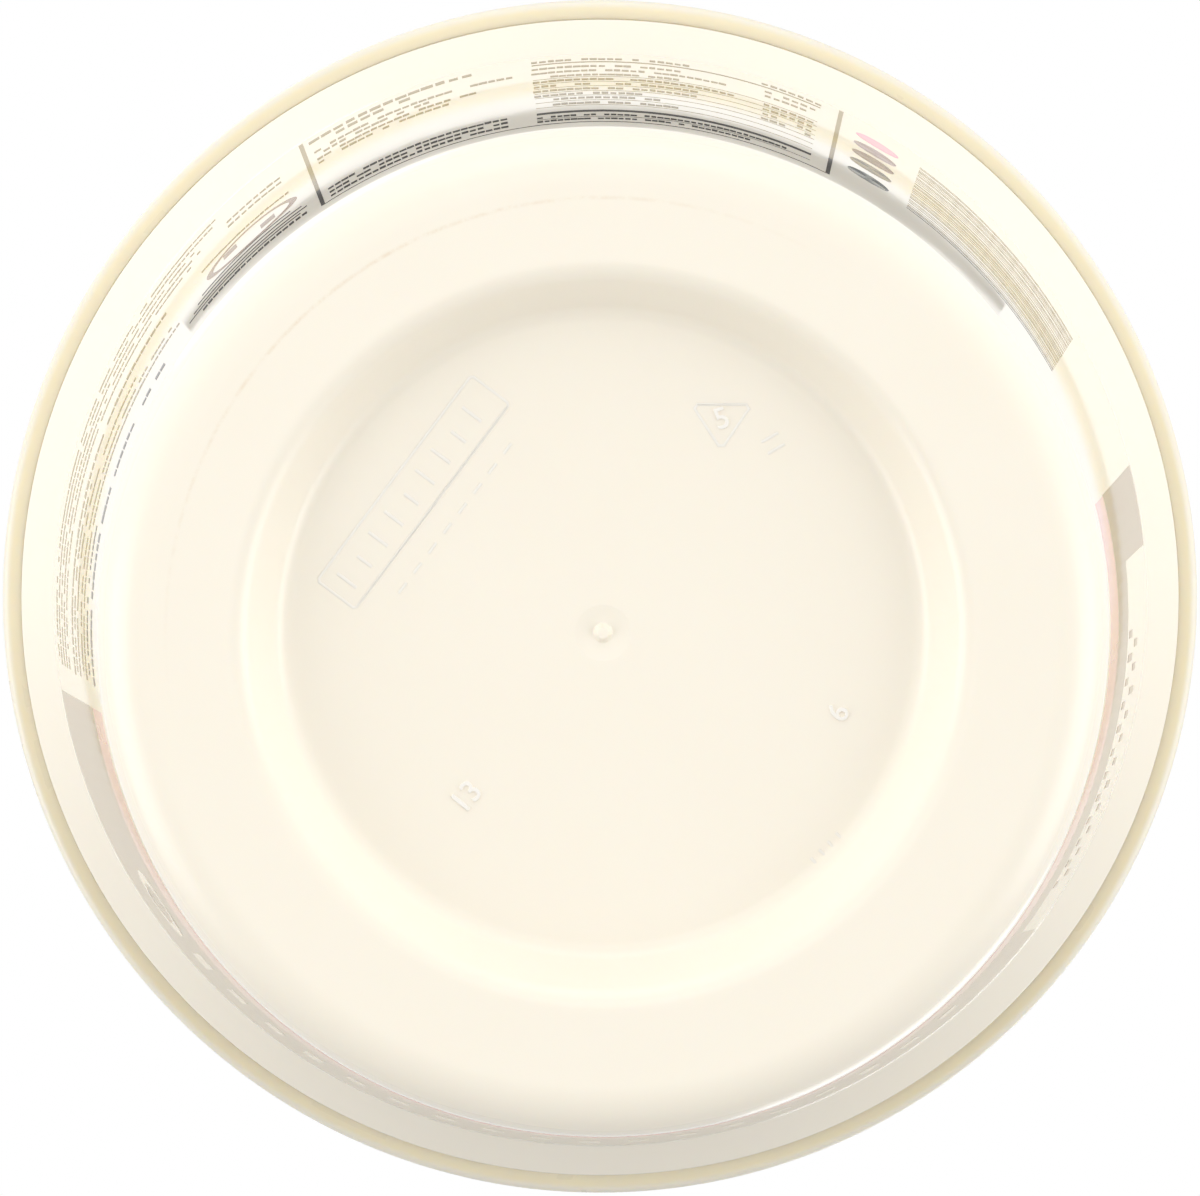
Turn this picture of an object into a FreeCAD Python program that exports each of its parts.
import FreeCAD, Part
import os
import re

import Sketcher

# A round snap-lid tub for soft cheese, injection moulded in cream plastic.
# The tub stands on its foot ring, with the origin at the centre of the foot
# and +Z up. It is shut and full, so the tub is one solid out to its outer
# form. The lid is a thin shell that snaps over the rim. Sizes are in mm.

SIZES = [
    # The rim that everything else is set out from, the height and the wall.
    ("rim_radius", 58.0),            # outside of the snap rim
    ("tub_height", 69.8),            # foot to top of rim
    ("wall_taper", 7.9),             # degrees from upright
    # The foot: a flat ring round a pushed-up panel, rounded into the wall.
    ("heel_round", 4.9),
    ("foot_width", 12.85),           # wall's corner to the ring's inner corner
    ("recess_depth", 4.8),           # height of the base panel over the foot
    ("recess_run", 3.55),            # width of the slope up to the base panel
    ("recess_foot_round", 2.4),
    ("recess_panel_round", 1.9),
    # The gate: where the plastic entered the mould, a nub in a shallow well.
    ("gate_well_radius", 2.6),
    ("gate_well_depth", 0.2),
    ("gate_nub_root", 0.9),
    ("gate_nub_tip", 0.5),
    ("gate_nub_height", 0.5),
    # The shoulder that steps out from the printed wall to a flange.
    ("shoulder_drop", 11.2),         # top of rim to the foot of the shoulder
    ("shoulder_height", 3.8),
    ("shoulder_width", 3.45),
    ("shoulder_root_round", 1.0),
    ("flange_inset", 0.35),          # flange's edge inside the rim's outside
    ("flange_land", 0.9),            # upright edge of the flange
    ("flange_round", 0.45),
    # The collar above the flange and the undercut rim that the lid hooks on.
    ("collar_inset", 1.8),           # collar inside the rim's outside
    ("rim_depth", 2.2),              # height of the rim's outer edge
    ("rim_undercut", 0.4),           # fall of the rim's underside to the collar
    ("rim_width", 3.2),
    ("rim_round", 0.6),
    ("mouth_round", 0.9),
    # The lid: a channel over the rim, a skirt outside and a sunk top inside.
    # The skirt reaches down to the flange, and ends in the bead and a broad lip.
    ("lid_wall", 0.8),
    ("lid_clearance", 0.3),          # between the lid and what it closes over
    ("lip_width", 1.4),              # how far the lip stands out of the channel
    ("lip_round", 0.8),
    ("bead_reach", 0.9),             # how far the snap bead stands in
    ("bead_slope", 0.35),            # height of the bead's upper slope
    ("bead_lead", 0.8),              # height of the lead-in at the lip
    ("bead_lead_width", 0.25),
    ("bead_lead_round", 0.2),
    ("well_depth", 4.6),             # lid's top to the floor of the moat
    ("moat_width", 3.6),
    ("panel_rise", 0.9),             # panel over the moat's floor
    ("panel_slope", 0.9),            # width of the step up to the panel
    ("crown_round", 1.1),
    ("well_round", 0.7),
    ("panel_round", 0.6),
    ("channel_round", 0.3),
]
NAMES = {name for name, _ in SIZES}

# Radii and heights of the tub that follow from the sizes above.
MOUTH_RADIUS = "(rim_radius - rim_width)"
FLANGE_RADIUS = "(rim_radius - flange_inset)"
COLLAR_RADIUS = "(rim_radius - collar_inset)"
WALL_TOP_RADIUS = f"({FLANGE_RADIUS} - shoulder_width)"
SHOULDER_FOOT = "(tub_height - shoulder_drop)"
FLANGE_UNDERSIDE = f"({SHOULDER_FOOT} + shoulder_height)"
FLANGE_TOP = f"({FLANGE_UNDERSIDE} + flange_land)"
RIM_UNDERSIDE = "(tub_height - rim_depth)"
WALL_FOOT_RADIUS = f"({WALL_TOP_RADIUS} - {SHOULDER_FOOT} * tan(wall_taper * 1 deg))"
FOOT_INNER_RADIUS = f"({WALL_FOOT_RADIUS} - foot_width)"
BASE_PANEL_RADIUS = f"({FOOT_INNER_RADIUS} - recess_run)"
GATE_FLOOR = "(recess_depth + gate_well_depth)"
GATE_TIP = f"({GATE_FLOOR} - gate_nub_height)"

# Radii of the lid, and its heights over the skirt's lower edge, which stops
# just clear of the flange when the channel is seated on the rim.
SKIRT_INNER_RADIUS = "(rim_radius + lid_clearance)"
LIP_RADIUS = f"({SKIRT_INNER_RADIUS} + lip_width)"
CROWN_RADIUS = f"({SKIRT_INNER_RADIUS} + lid_wall)"
BEAD_RADIUS = f"({SKIRT_INNER_RADIUS} - bead_reach)"
LEAD_RADIUS = f"({BEAD_RADIUS} + bead_lead_width)"
WELL_OUTER_RADIUS = f"({MOUTH_RADIUS} - lid_clearance)"
WELL_INNER_RADIUS = f"({WELL_OUTER_RADIUS} - lid_wall)"
MOAT_RADIUS = f"({WELL_INNER_RADIUS} - moat_width)"
PANEL_RADIUS = f"({MOAT_RADIUS} - panel_slope)"
CHANNEL_TOP = "(shoulder_drop - shoulder_height - flange_land)"
LID_TOP = f"({CHANNEL_TOP} + lid_wall)"
BEAD_TOP = f"({CHANNEL_TOP} - lid_clearance - rim_depth - lid_clearance)"
BEAD_UPPER = f"({BEAD_TOP} - bead_slope)"
MOAT_TOP = f"({LID_TOP} - well_depth)"
MOAT_UNDERSIDE = f"({MOAT_TOP} - lid_wall)"
PANEL_TOP = f"({MOAT_TOP} + panel_rise)"
PANEL_UNDERSIDE = f"({PANEL_TOP} - lid_wall)"

# The lid sits with its channel over the rim, and the tub is full to just under it.
LID_SEAT = f"(tub_height + lid_clearance - {CHANNEL_TOP})"
FILL_HEIGHT = f"({LID_SEAT} + {MOAT_UNDERSIDE} - lid_clearance)"

# Each outline is a closed half section: its corners in order, with their
# radius and height. "axis" is on the turning axis and "base" at height zero.
TUB_OUTLINE = [
    ("gate_axis", "axis", GATE_TIP),
    ("gate_tip", "gate_nub_tip", GATE_TIP),
    ("gate_root", "gate_nub_root", GATE_FLOOR),
    ("gate_rim", "gate_well_radius", "recess_depth"),
    ("base_panel", BASE_PANEL_RADIUS, "recess_depth"),
    ("foot_inner", FOOT_INNER_RADIUS, "base"),
    ("heel", WALL_FOOT_RADIUS, "base"),
    ("shoulder_root", WALL_TOP_RADIUS, SHOULDER_FOOT),
    ("flange_lower", FLANGE_RADIUS, FLANGE_UNDERSIDE),
    ("flange_upper", FLANGE_RADIUS, FLANGE_TOP),
    ("collar_foot", COLLAR_RADIUS, FLANGE_TOP),
    ("collar_head", COLLAR_RADIUS, f"{RIM_UNDERSIDE} - rim_undercut"),
    ("rim_lower", "rim_radius", RIM_UNDERSIDE),
    ("rim_upper", "rim_radius", "tub_height"),
    ("mouth", MOUTH_RADIUS, "tub_height"),
    ("fill_edge", MOUTH_RADIUS, FILL_HEIGHT),
    ("fill_axis", "axis", FILL_HEIGHT),
]
TUB_ROUNDS = [
    ("HeelRound", ["heel"], "heel_round"),
    ("RecessFootRound", ["foot_inner"], "recess_foot_round"),
    ("RecessPanelRound", ["base_panel"], "recess_panel_round"),
    ("ShoulderRound", ["shoulder_root"], "shoulder_root_round"),
    ("FlangeRound", ["flange_lower", "flange_upper"], "min(flange_round; 0.55 * flange_land)"),
    ("RimRound", ["rim_upper"], "min(rim_round; 0.3 * rim_depth; 0.4 * rim_width)"),
    ("MouthRound", ["mouth"], "min(mouth_round; 0.4 * rim_width)"),
]

LID_OUTLINE = [
    ("panel_axis", "axis", PANEL_TOP),
    ("panel_edge", PANEL_RADIUS, PANEL_TOP),
    ("moat_inner", MOAT_RADIUS, MOAT_TOP),
    ("moat_outer", WELL_INNER_RADIUS, MOAT_TOP),
    ("crown_inner", WELL_INNER_RADIUS, LID_TOP),
    ("crown_outer", CROWN_RADIUS, LID_TOP),
    ("lip_outer", LIP_RADIUS, "base"),
    ("lip_inner", LEAD_RADIUS, "base"),
    ("bead_lower", BEAD_RADIUS, "bead_lead"),
    ("bead_upper", BEAD_RADIUS, BEAD_UPPER),
    ("bead_top", SKIRT_INNER_RADIUS, BEAD_TOP),
    ("channel_outer", SKIRT_INNER_RADIUS, CHANNEL_TOP),
    ("channel_inner", WELL_OUTER_RADIUS, CHANNEL_TOP),
    ("moat_under_outer", WELL_OUTER_RADIUS, MOAT_UNDERSIDE),
    ("moat_under_inner", MOAT_RADIUS, MOAT_UNDERSIDE),
    ("panel_under_edge", PANEL_RADIUS, PANEL_UNDERSIDE),
    ("panel_under_axis", "axis", PANEL_UNDERSIDE),
]
LID_ROUNDS = [
    ("CrownRound", ["crown_outer"], "crown_round"),
    ("WellRound", ["crown_inner", "moat_outer"], "well_round"),
    ("PanelRound", ["panel_edge", "moat_inner"], "min(panel_round; 0.8 * panel_slope)"),
    ("ChannelRound", ["channel_outer", "channel_inner"], "min(channel_round; 0.9 * lid_wall)"),
    ("LipRound", ["lip_outer"], "min(lip_round; 0.6 * lip_width)"),
    ("LeadRound", ["lip_inner"], "bead_lead_round"),
]


def make_sheet(document):
    """Keep the driving sizes in a spreadsheet, a name and an alias for each."""
    sheet = document.addObject("Spreadsheet::Sheet", "sizes")
    for row, (name, value) in enumerate(SIZES, start=1):
        sheet.set(f"A{row}", name)
        sheet.set(f"B{row}", str(value))
        sheet.setAlias(f"B{row}", name)
    document.recompute()
    return sheet


def bound(expression):
    """Point the size names in an expression at the spreadsheet."""
    return re.sub(r"[a-z_]+", lambda word: "sizes." * (word.group() in NAMES) + word.group(),
                  expression)


def half_section(body, sheet, outline):
    """Draw a closed outline on the body's own upright plane, each corner held by two sizes."""
    sketch = body.newObject("Sketcher::SketchObject", body.Label + "_outline")
    planes = [plane for plane in body.Origin.OriginFeatures if plane.Role == "XZ_Plane"]
    sketch.AttachmentSupport = [(planes[0], "")]
    sketch.MapMode = "FlatFace"
    starts = [[0.0 if text in ("axis", "base") else float(sheet.evalExpression(text))
               for text in corner[1:]] for corner in outline]
    ends = starts[1:] + starts[:1]
    for start, end in zip(starts, ends):
        line = Part.LineSegment(FreeCAD.Vector(*start, 0), FreeCAD.Vector(*end, 0))
        sketch.addGeometry(line, False)
    for index in range(len(outline)):
        following = (index + 1) % len(outline)
        sketch.addConstraint(Sketcher.Constraint("Coincident", index, 2, following, 1))
    for index, (name, radius, height) in enumerate(outline):
        hold_corner(sketch, index, name + "_radius", "DistanceX", radius, starts[index][0])
        hold_corner(sketch, index, name + "_height", "DistanceY", height, starts[index][1])
    return sketch


def hold_corner(sketch, index, name, kind, expression, value):
    """Hold one coordinate of a corner to the spreadsheet, or to the axis it lies on."""
    if expression in ("axis", "base"):
        axis = -2 if expression == "axis" else -1
        sketch.addConstraint(Sketcher.Constraint("PointOnObject", index, 1, axis))
        return
    number = sketch.addConstraint(Sketcher.Constraint(kind, -1, 1, index, 1, value))
    sketch.renameConstraint(number, name)
    sketch.setExpression("Constraints." + name, bound(expression))


def edges_at(feature, sketch, outline, corners):
    """Name the circular edges that the outline's corners turned into."""
    names = [corner[0] for corner in outline]
    places = [sketch.Geometry[names.index(corner)].StartPoint for corner in corners]
    found = []
    for number, edge in enumerate(feature.Shape.Edges, start=1):
        curve = edge.Curve
        if not isinstance(curve, Part.Circle):
            continue
        for place in places:
            if abs(curve.Radius - place.x) < 1e-4 and abs(curve.Center.z - place.y) < 1e-4:
                found.append(f"Edge{number}")
    if len(found) != len(corners):
        raise RuntimeError(f"{feature.Label}: {len(found)} edges for {corners}")
    return found


def turned_body(document, sheet, name, outline, rounds):
    """Turn an outline into a solid of revolution and round its corners in order."""
    body = document.addObject("PartDesign::Body", name)
    body.Label = name
    sketch = half_section(body, sheet, outline)
    document.recompute()
    turned = body.newObject("PartDesign::Revolution", name + "_turned")
    turned.Profile = sketch
    turned.ReferenceAxis = (sketch, ["V_Axis"])
    turned.Angle = 360
    sketch.Visibility = False
    document.recompute()
    feature = turned
    for label, corners, size in rounds:
        edges = edges_at(feature, sketch, outline, corners)
        fillet = body.newObject("PartDesign::Fillet", label)
        fillet.Base = (feature, edges)
        fillet.setExpression("Radius", bound(size))
        document.recompute()
        feature = fillet
    return body


def check(document, bodies):
    """Stop if anything in the document failed, or if a piece isn't one sound solid."""
    for item in document.Objects:
        if "Invalid" in item.State or "Error" in item.State:
            raise RuntimeError(f"{item.Label} failed: {item.State}")
    for body in bodies:
        shape = body.Shape
        if shape.isNull() or not shape.isValid() or len(shape.Solids) != 1:
            raise RuntimeError(f"{body.Label} isn't one sound solid")
        print(f"{body.Label}: volume {shape.Volume / 1000:.1f} cm3, box {shape.BoundBox}")


document = FreeCAD.newDocument("tub")
sheet = make_sheet(document)

tub = turned_body(document, sheet, "tub", TUB_OUTLINE, TUB_ROUNDS)
tub.Placement = FreeCAD.Placement()

lid = turned_body(document, sheet, "lid", LID_OUTLINE, LID_ROUNDS)
lid.Placement = FreeCAD.Placement()
lid.setExpression("Placement.Base.z", bound(LID_SEAT))

document.recompute()
check(document, [tub, lid])
os.makedirs("parts", exist_ok=True)
for body in (tub, lid):
    body.Shape.exportStep(f"parts/{body.Label}.step")
